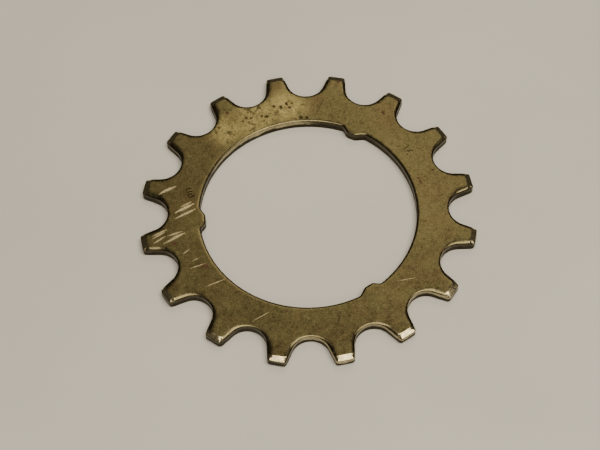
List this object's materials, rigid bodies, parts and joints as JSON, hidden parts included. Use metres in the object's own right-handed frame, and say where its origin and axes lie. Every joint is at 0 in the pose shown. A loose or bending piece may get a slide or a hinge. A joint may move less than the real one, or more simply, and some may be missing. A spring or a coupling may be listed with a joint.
{
  "type": "bicycle freewheel sprocket",
  "caption": "Flat steel chain sprocket, a cog for a bicycle freewheel: roller-chain teeth outside and a large round bore with small driving lugs.",
  "frame": {"origin": "centre of the bore, on the lower face", "axes": "+Z along the bore axis, out of the face with the rolled edges; -Y through the datum tooth, on whose centre line one lug lies"},
  "size_m": [0.0688, 0.0688, 0.0023],
  "materials": {
    "worn_steel": "dull worn steel with a warm brown-grey tarnish, bright rubbed edges and light rust specks"
  },
  "bodies": {
    "root": {"sprocket": "worn_steel"}
  },
  "joints": []
}
